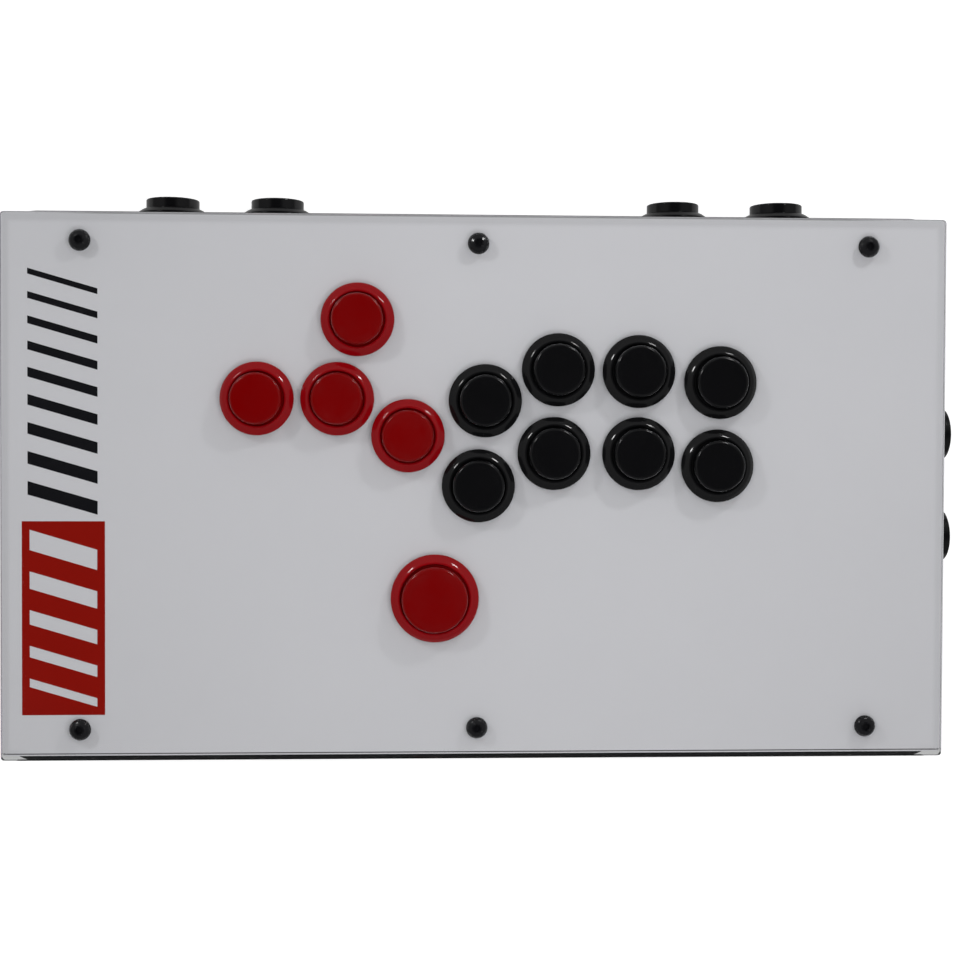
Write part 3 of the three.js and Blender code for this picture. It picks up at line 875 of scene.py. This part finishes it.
bars = []
y = OY + 81.1 - slant / 2
for i in range(9):
    thick = 2.2 + 0.36 * i
    bars.append(bar(y - thick, y))
    y -= thick + 6.48
ink("print_black_bars", bars, INK_BLACK)
rx0, rx1 = OX - 170.3, OX - 139.5
ry0, ry1 = OY - 86.25, OY - 13.45
block_outline = [(rx0, ry0), (rx1, ry0), (rx1, ry1), (rx0, ry1)]
cuts = []
y = ry1 - 3.2 - slant / 2
for thick in (7.6, 6.5, 5.4, 4.3, 3.2):
    cuts.append(bar(y - thick, y, rx0 + 2.9, rx1 - 2.9, slant))
    y -= thick + 8.0
ink("print_red_block", [block_outline], INK_RED, cuts)


# ---------------------------------------------------------------------------
# steel case and base plate
# ---------------------------------------------------------------------------
def case_outline(inset):
    return round_rect(case_lo.x + inset, case_lo.y - 0.07 + inset, case_hi.x - inset, case_hi.y - inset, CASE_R - inset, 16)


fillet = 1.4
levels = [(Z_FOOT, case_outline(0.35)), (Z_FOOT + 0.35, case_outline(0.0))]
for k in range(7):
    a = math.pi / 2 * k / 6
    levels.append((Z_TOP - fillet + fillet * math.sin(a), case_outline(fillet * (1 - math.cos(a)))))
case_mesh = mesh_of("case_shell_skin", prism(levels))
inner = [(Z_FOOT - 1, case_outline(WALL)), (Z_TOP - WALL - 0.8, case_outline(WALL)), (Z_TOP - WALL - 0.2, case_outline(WALL + 0.25)),
         (Z_TOP - WALL, case_outline(WALL + 0.8))]
case_mesh = cut(case_mesh, prism(inner))


def rod(r, z0, z1, n=32, x=0.0, y=0.0):
    return Shape().join(lathe([(0, z0), (r, z0), (r, z1), (0, z1)], n), shift(x, y, 0))


posts = Shape()
base_at = [(middle(n).x, middle(n).y) for n in base_screws]
for x, y in screw_at:
    posts.join(rod(4.5, 34.5, Z_TOP - 0.5, 40, x, y))
for x, y in base_at:
    posts.join(rod(5.0, Z_FLOOR + 0.02, Z_TOP - 0.5, 40, x, y))
case_mesh = cut(case_mesh, posts, "UNION")
drills = Shape()
for b in top_buttons:
    drills.join(rod(b.size["hole"], Z_TOP - 4, Z_TOP + 4, 72, b.origin.x, b.origin.y))
for x, y in screw_at:
    drills.join(rod(2.2, 30, Z_TOP + 4, 24, x, y))
for x, y in base_at:
    drills.join(rod(1.75, 0, 17, 24, x, y))
side_rod = lathe([(0, -WALL - 2), (SMALL["hole"], -WALL - 2), (SMALL["hole"], 2), (0, 2)], 72)
for b in rear_buttons + side_buttons:
    drills.join(side_rod, b.matrix)
drills.join(rbox(usb_lo.x - 0.25, usb_hi.x + 0.25, case_hi.y - 4, case_hi.y + 4, usb_lo.z - 0.25, usb_hi.z + 0.25, 0.5, 3))
case_mesh = cut(case_mesh, drills)
piece("case", case_mesh, STEEL, replaces="case_shell", angle=28)


def base_outline(inset):
    return round_rect(base_lo.x + inset, base_lo.y + inset, base_hi.x - inset, base_hi.y - inset, CASE_R - 1.75 - inset, 12)


stand_at = [(OX + sx * 34, board_lo.y + oy) for sx in (-1, 1) for oy in (4, 30)]
base_mesh = mesh_of("base_skin", prism(
    [(Z_FOOT + 0.02, base_outline(0.3)), (Z_FOOT + 0.32, base_outline(0)), (Z_FLOOR - 0.3, base_outline(0)), (Z_FLOOR, base_outline(0.3))],
    [circle(x, y, 1.75, 24) for x, y in base_at]))
stands = Shape()
for x, y in stand_at:
    stands.join(Shape().join(lathe([(0, Z_FLOOR - 0.4), (2.75, Z_FLOOR - 0.4), (2.75, board_lo.z - 0.02), (0, board_lo.z - 0.02)], 6), shift(x, y, 0)))
base_mesh = cut(base_mesh, stands, "UNION")
slots = Shape()                             # short vent slots through the base
for i in range(7):
    for sx in (-1, 1):
        x = OX + sx * (62 + i * 7.0)
        pts = [(x + 1.25 * math.cos(a), OY - 20 + (9 if math.sin(a) >= 0 else -9) + 1.25 * math.sin(a))
               for a in [2 * math.pi * (k + 0.5) / 24 for k in range(24)]]
        slots.join(prism([(Z_FOOT - 1, pts), (Z_FLOOR + 1, pts)]))
base_mesh = cut(base_mesh, slots)
piece("base", base_mesh, STEEL, replaces="base_plate", angle=28)

# ---------------------------------------------------------------------------
# feet and screws
# ---------------------------------------------------------------------------
foot_prof = rounded([(0, Z_FOOT), (9, Z_FOOT), (9, 1.2, 0.5), (7.9, 0, 0.5), (5.2, 0, 0.2), (4.6, 0.5, 0.2), (0, 0.5)], 4)
for n in feet:
    c = middle(n)
    piece("rubber_" + n, Shape().join(lathe(foot_prof, 72), shift(c.x, c.y, 0)), RUBBER, replaces=n)

head, tall = 4.13, 2.25
prof = rounded([(0, tall), (head * 0.46, tall, 0.3), (head * 0.80, tall * 0.72, 1.6), (head * 0.985, 0.42, 0.4), (head * 0.97, 0.02, 0.1), (1.9, 0.02)], 6)
shank = [(1.9, 0.02)]
z = 0.0
while z > -10.6:                            # threads: a fine saw tooth
    shank += [(1.62, z - 0.35), (1.9, z - 0.7)]
    z -= 0.7
shank += [(1.4, -11.0), (0, -11.0)]
screw_mesh = mesh_of("cover_screw_form", lathe(prof + shank[1:], 64))
socket = prism([(tall - 1.25, circle(0, 0, 1.45, 6, math.pi / 6)), (tall - 0.18, circle(0, 0, 1.45, 6, math.pi / 6)),
                (tall + 1, circle(0, 0, 1.45 + 1.18 * 0.6, 6, math.pi / 6))])
screw_mesh = cut(screw_mesh, socket)
for i, n in enumerate(cover_screws):
    c = middle(n)
    me = screw_mesh.copy()
    me.transform(shift(c.x * MM, c.y * MM, Z_COVER * MM) @ Matrix.Rotation(math.radians(17 + 23 * i), 4, "Z"))
    piece(n.replace("cover_", "top_"), me, SCREW, replaces=n, angle=35)

Z_HEAD = box(base_screws[0])[0].z
hb = Z_FOOT - Z_HEAD
prof = rounded([(0, -hb), (1.9, -hb, 0.5), (2.8, -hb + 0.7, 0.5), (2.8, -0.02, 0.1), (1.4, -0.02)], 5)
shank = []
z = 0.0
while z < 11.0:
    shank += [(1.12, z + 0.3), (1.4, z + 0.6)]
    z += 0.6
shank += [(0.9, 11.5), (0, 11.5)]
pan_mesh = mesh_of("base_screw_form", lathe(prof + shank, 48))
cross = Shape()
for a in (0, math.pi / 2):
    arm = Shape().add([(-1.7, -0.42, -hb - 1), (1.7, -0.42, -hb - 1), (1.7, 0.42, -hb - 1), (-1.7, 0.42, -hb - 1),
                       (-0.7, -0.25, -hb + 0.95), (0.7, -0.25, -hb + 0.95), (0.7, 0.25, -hb + 0.95), (-0.7, 0.25, -hb + 0.95)],
                      [(3, 2, 1, 0), (4, 5, 6, 7), (0, 1, 5, 4), (1, 2, 6, 5), (2, 3, 7, 6), (3, 0, 4, 7)]).outward()
    pan_mesh = cut(pan_mesh, Shape().join(arm, Matrix.Rotation(a, 4, "Z")))
for i, n in enumerate(base_screws):
    c = middle(n)
    me = pan_mesh.copy()
    me.transform(shift(c.x * MM, c.y * MM, Z_FOOT * MM) @ Matrix.Rotation(math.radians(11 + 31 * i), 4, "Z"))
    piece(n.replace("base_", "under_"), me, ZINC, replaces=n, angle=35)

# ---------------------------------------------------------------------------
# USB socket, type B: shield, insert, tongue and contacts
# ---------------------------------------------------------------------------
ux = (usb_lo.x + usb_hi.x) / 2
uz = (usb_lo.z + usb_hi.z) / 2
uy = case_hi.y


def facing_rear(s):
    """Built in (x, z) with depth along -Z of the shape; turned so that it faces +Y at the wall."""
    return Shape().join(s, Matrix(((-1, 0, 0, ux), (0, 0, 1, uy), (0, 1, 0, uz), (0, 0, 0, 1))))


def d_shape(w, h, c, r=0.4):
    """The plug opening: a square with its two upper corners cut off."""
    return rounded([(-w / 2, -h / 2, r), (w / 2, -h / 2, r), (w / 2, h / 2 - c, r), (w / 2 - c, h / 2, r),
                    (-w / 2 + c, h / 2, r), (-w / 2, h / 2 - c, r)], 3, closed=True)


outer = rounded([(-6, -5.5, 0.6), (6, -5.5, 0.6), (6, 5.5, 0.6), (-6, 5.5, 0.6)], 4, closed=True)
outer_in = rounded([(-5.8, -5.3, 0.5), (5.8, -5.3, 0.5), (5.8, 5.3, 0.5), (-5.8, 5.3, 0.5)], 4, closed=True)
mouth = d_shape(9.6, 9.1, 2.2, 0.5)
piece("socket_shield", facing_rear(prism([(-16, outer_in), (-15.8, outer), (-0.2, outer), (0, outer_in)], [mouth])), TIN,
      replaces="usb_socket")
plug = d_shape(8.45, 7.8, 1.9, 0.4)
ins_out = d_shape(9.56, 9.06, 2.2, 0.5)
ins = Shape().join(prism([(-12.6, ins_out), (-0.35, ins_out), (-0.25, d_shape(9.4, 8.9, 2.2, 0.5))], [plug]))
ins.join(prism([(-15.9, ins_out), (-12.55, ins_out)]))
ins.join(rbox(-2.7, 2.7, -1.5, 1.5, -12.6, -4.0, 0.35, 3))
piece("socket_insert", facing_rear(ins), INSERT)
con = Shape()
for i, x in enumerate((-1.25, 1.25)):
    for zz, y0 in ((1.5, 1), (-1.5, -1)):
        con.join(rbox(x - 0.5, x + 0.5, zz - 0.12 if y0 > 0 else zz - 0.08, zz + 0.08 if y0 > 0 else zz + 0.12, -12.0, -4.6, 0.06, 2))
piece("socket_contacts", facing_rear(con), GOLD)

# ---------------------------------------------------------------------------
# controller board
# ---------------------------------------------------------------------------
bz0, bz1 = board_lo.z, board_lo.z + 1.5
bo = round_rect(board_lo.x, board_lo.y, board_hi.x, board_hi.y, 1.5, 5)
piece("board", prism([(bz0, bo), (bz1, bo)], [circle(x, y, 1.6, 24) for x, y in stand_at]), BOARD,
      replaces="controller_board")
bx, by = (board_lo.x + board_hi.x) / 2, board_lo.y - 60
chips, pins, hdr = Shape(), Shape(), Shape()


def chip(x0, x1, y0, y1, h, n_pins, along="x"):
    chips.join(rbox(bx + x0, bx + x1, by + y0, by + y1, bz1 + 0.12, bz1 + h, 0.15, 2))
    for i in range(n_pins):
        t = (i + 0.5) / n_pins
        for side in (0, 1):
            if along == "x":
                x = x0 + (x1 - x0) * t
                y = (y1, y1 + 0.9) if side else (y0 - 0.9, y0)
                pins.join(rbox(bx + x - 0.15, bx + x + 0.15, by + y[0], by + y[1], bz1 + 0.02, bz1 + 0.3, 0.05, 1))
            else:
                y = y0 + (y1 - y0) * t
                x = (x1, x1 + 0.9) if side else (x0 - 0.9, x0)
                pins.join(rbox(bx + x[0], bx + x[1], by + y - 0.15, by + y + 0.15, bz1 + 0.02, bz1 + 0.3, 0.05, 1))


chip(-4.1, 4.1, 66.9, 75.1, 1.5, 9, "x")
chip(-4.1, 4.1, 66.9, 75.1, 1.5, 9, "y")
chip(-20, -12, 69, 73, 1.5, 6, "x")
for i in range(6):
    x = -30 + i * 3.4
    chips.join(rbox(bx + x, bx + x + 0.9, by + 82, by + 84, bz1 + 0.02, bz1 + 0.6, 0.1, 1))
    for yy in (81.6, 83.7):
        pins.join(rbox(bx + x - 0.02, bx + x + 0.92, by + yy, by + yy + 0.7, bz1 + 0.01, bz1 + 0.62, 0.06, 1))
pins.join(Shape().join(prism([(bz1 + 0.02, round_rect(bx + 12, by + 67, bx + 16, by + 72, 1.6, 6)),
                              (bz1 + 1.8, round_rect(bx + 12, by + 67, bx + 16, by + 72, 1.6, 6)),
                              (bz1 + 2.0, round_rect(bx + 12.2, by + 67.2, bx + 15.8, by + 71.8, 1.4, 6))])))
for x0, x1 in ((-34, -4), (4, 34)):
    tray = round_rect(bx + x0, by + 60.5, bx + x1, by + 65, 0.4, 3)
    well = round_rect(bx + x0 + 0.8, by + 61.2, bx + x1 - 0.8, by + 64.3, 0.3, 3)
    hdr.join(prism([(bz1 + 1.0, tray), (bz1 + 5, tray)], [well]))
    hdr.join(prism([(bz1 + 0.02, tray), (bz1 + 1.02, tray)]))
    for i in range(10):
        x = x0 + 2.2 + i * (x1 - x0 - 4.4) / 9
        pins.join(rbox(bx + x - 0.32, bx + x + 0.32, by + 62.4, by + 63.1, bz1 + 0.9, bz1 + 4.6, 0.1, 1))
piece("board_chips", chips, EPOXY)
piece("board_metal", pins, TIN)
piece("board_headers", hdr, NYLON)

# ---------------------------------------------------------------------------
# wiring: a braided sleeve across the case, and a pair of wires to every switch
# ---------------------------------------------------------------------------
WZ = 7.0
BY = OY + 54
sleeve = tube(bend([(harness_lo.x + 2.0, BY, WZ), (harness_hi.x - 2.0, BY, WZ)]), 1.75, 14)
for sx in (-19, 19):
    sleeve.join(tube(bend([(OX + sx, BY, WZ), (OX + sx, BY + 3.6, WZ), (OX + sx, BY + 3.6, 12.75), (OX + sx, BY + 5.2, 12.75)], 2.0), 1.2, 12))
piece("harness_sleeve", sleeve, BRAID, replaces="wiring_harness")
wires = Shape()
ends = Shape()
for i, b in enumerate(buttons):
    c = b.origin
    # where the two blades end, and the way down from them
    for k, off in enumerate((-3.25, 3.25)):
        tip = b.matrix @ Vector((off, 0, -26.4))
        back = b.matrix @ Vector((off, 0, -31.0))
        ends.join(rbox(-1.1, 1.1, -2.9, 2.9, -31.0, -23.6, 0.7, 4), b.matrix @ Matrix.Translation((off, 0, 0)))
        colour = 0 if k else 1 + i % 5
        o = 0.62 * (-1 if k else 1)
        if b.out.z > 0.5:
            path = [back + Vector((0, 0, 1)), Vector((back.x, back.y, 12.5)), Vector((c.x + o, back.y, WZ)),
                    Vector((c.x + o, BY, WZ))]
        elif b.out.y > 0.5:
            path = [back + Vector((0, 1, 0)), Vector((back.x, back.y - 3.2, back.z)), Vector((c.x + o, back.y - 3.2, WZ)),
                    Vector((c.x + o, BY, WZ))]
        else:
            path = [back + Vector((1, 0, 0)), Vector((back.x - 3.2, back.y, back.z)), Vector((back.x - 3.2 + o, c.y, WZ)),
                    Vector((back.x - 3.2 + o, BY, WZ))]
        wires.join(tube(bend(path, 2.6), 0.55, 8), mat=colour)
piece("harness_wires", wires, WIRES)
piece("harness_ends", ends, VINYL)


# ---------------------------------------------------------------------------
# floor, light and camera
# ---------------------------------------------------------------------------
def make_floor():
    w = 14000
    s = Shape().add([(-w, -w, 0), (w, -w, 0), (w, w, 0), (-w, w, 0)], [(0, 1, 2, 3)])
    me = mesh_of("floor", s)
    n = Nodes("floor_white")
    n.colour(n.mix(n.noise(3, 3), (0.74, 0.74, 0.745, 1), (0.77, 0.77, 0.775, 1)))
    n.roughness(n.remap(n.noise(60, 3), 0.3, 0.7, 0.75, 0.9))
    n.set(Emission_Color=(1, 1, 1, 1), Specular_IOR_Level=0.1)
    far = n.new("ShaderNodeVectorMath", operation="LENGTH")
    n.link(n.co, far.inputs[0])
    n.link(n.remap(far.outputs["Value"], 0.35, 1.6, 0.72, 0.98), n.p.inputs["Emission Strength"])
    # seen in the gloss of the parts, the floor is much dimmer than straight on
    path = n.new("ShaderNodeLightPath")
    dark = n.new("ShaderNodeEmission")
    dark.inputs["Strength"].default_value = 0.0
    mx = n.new("ShaderNodeMixShader")
    n.link(n.math("MULTIPLY", path.outputs["Is Glossy Ray"], 0.55), mx.inputs[0])
    n.link(n.p.outputs[0], mx.inputs[1])
    n.link(dark.outputs[0], mx.inputs[2])
    n.link(mx.outputs[0], n.out.inputs["Surface"])
    me.materials.append(n.mat)
    ob = bpy.data.objects.new("floor", me)
    scene.collection.objects.link(ob)


make_floor()

world = bpy.data.worlds.new("studio")
scene.world = world
world.use_nodes = True
nt = world.node_tree
for n in list(nt.nodes):
    nt.nodes.remove(n)
out = nt.nodes.new("ShaderNodeOutputWorld")
bg = nt.nodes.new("ShaderNodeBackground")
seen = nt.nodes.new("ShaderNodeBackground")
mixn = nt.nodes.new("ShaderNodeMixShader")
lp = nt.nodes.new("ShaderNodeLightPath")
co = nt.nodes.new("ShaderNodeTexCoord")
sep = nt.nodes.new("ShaderNodeSeparateXYZ")
ramp = nt.nodes.new("ShaderNodeValToRGB")
nt.links.new(co.outputs["Generated"], sep.inputs[0])
nt.links.new(sep.outputs["Z"], ramp.inputs[0])
# brightness by height above the horizon, as the sine of that height: dark overhead, bright ring, dim horizon
stops = [(0.0, 0.72), (0.07, 0.56), (0.13, 0.27), (0.30, 0.30), (0.45, 0.34), (0.60, 0.35), (0.84, 0.33), (0.92, 0.08), (0.95, 0.015), (1.0, 0.01)]
cr = ramp.color_ramp
cr.interpolation = "LINEAR"
while len(cr.elements) < len(stops):
    cr.elements.new(0.5)
for e, (p, v) in zip(cr.elements, stops):
    e.position = p
    e.color = (v, v, v, 1)
# the far side is a little brighter than the near side
lean = nt.nodes.new("ShaderNodeMapRange")
lean.inputs["From Min"].default_value = -1
lean.inputs["From Max"].default_value = 1
lean.inputs["To Min"].default_value = 0.84
lean.inputs["To Max"].default_value = 1.16
nt.links.new(sep.outputs["Y"], lean.inputs["Value"])
mul = nt.nodes.new("ShaderNodeMath")
mul.operation = "MULTIPLY"
nt.links.new(ramp.outputs["Color"], mul.inputs[0])
nt.links.new(lean.outputs["Result"], mul.inputs[1])
mul2 = nt.nodes.new("ShaderNodeMath")
mul2.operation = "MULTIPLY"
mul2.inputs[1].default_value = 1.15
nt.links.new(mul.outputs[0], mul2.inputs[0])
# the gloss mirrors a dimmer room than the one that lights the panel
dim = nt.nodes.new("ShaderNodeMapRange")
dim.inputs["To Min"].default_value = 0.92
dim.inputs["To Max"].default_value = 0.55
nt.links.new(lp.outputs["Is Glossy Ray"], dim.inputs["Value"])
mul3 = nt.nodes.new("ShaderNodeMath")
mul3.operation = "MULTIPLY"
nt.links.new(mul2.outputs[0], mul3.inputs[0])
nt.links.new(dim.outputs["Result"], mul3.inputs[1])
nt.links.new(mul3.outputs[0], bg.inputs["Strength"])
bg.inputs["Color"].default_value = (1, 1, 1, 1)
seen.inputs["Color"].default_value = (1, 1, 1, 1)
seen.inputs["Strength"].default_value = 1.0
nt.links.new(lp.outputs["Is Camera Ray"], mixn.inputs[0])
nt.links.new(bg.outputs[0], mixn.inputs[1])
nt.links.new(seen.outputs[0], mixn.inputs[2])
nt.links.new(mixn.outputs[0], out.inputs["Surface"])


def lamp(name, at, wide, tall, radiance, aim=(0, 0, 0), shape="ELLIPSE"):
    """A lamp: at is in millimetres from the middle of the cover, up from its face."""
    d = bpy.data.lights.new(name, "AREA")
    d.shape = shape
    d.size, d.size_y = wide * MM, tall * MM
    area = wide * tall * MM * MM * (math.pi / 4 if shape == "ELLIPSE" else 1)
    d.energy = radiance * math.pi * area
    o = bpy.data.objects.new(name, d)
    scene.collection.objects.link(o)
    o.location = Vector((OX + at[0], OY + at[1], Z_COVER + at[2])) * MM
    aim = Vector((OX + aim[0], OY + aim[1], Z_COVER + aim[2])) * MM
    o.rotation_mode = "QUATERNION"
    o.rotation_quaternion = (aim - o.location).to_track_quat("-Z", "Y")
    return o


lamp("lamp_left", (-505, 431, 517), 155, 58, 35)
lamp("lamp_right", (292, 395, 309), 108, 42, 38)
# a broad soft panel overhead, which lights but isn't mirrored in the gloss
soft = lamp("soft_panel", (36, -38, 480), 340, 340, 2.82, (36, -38, 0), "RECTANGLE")
soft.visible_glossy = False
soft.visible_camera = False
soft.visible_transmission = False

cam_data = bpy.data.cameras.new("camera")
cam = bpy.data.objects.new("camera", cam_data)
scene.collection.objects.link(cam)
scene.camera = cam
cam_data.sensor_fit = "HORIZONTAL"
cam_data.sensor_width = 36.0
cam_data.lens = 1363.729 / 955 * 36
cam_data.shift_x = (477.5 - 480.739) / 955
cam_data.shift_y = (436.616 - 477.5) / 955
cam_data.clip_start, cam_data.clip_end = 0.01, 20
turn = Matrix.Rotation(0.0040, 4, "Z") @ Matrix.Rotation(-0.0386, 4, "Y") @ Matrix.Rotation(-0.0189, 4, "X")
cam.matrix_world = Matrix.Translation(Vector((OX - 18.7535, OY + 28.3681, Z_COVER + 512.965)) * MM) @ turn

scene.view_settings.view_transform = "Standard"
scene.view_settings.look = "None"
scene.view_settings.exposure = 0.0
scene.view_settings.gamma = 1.0
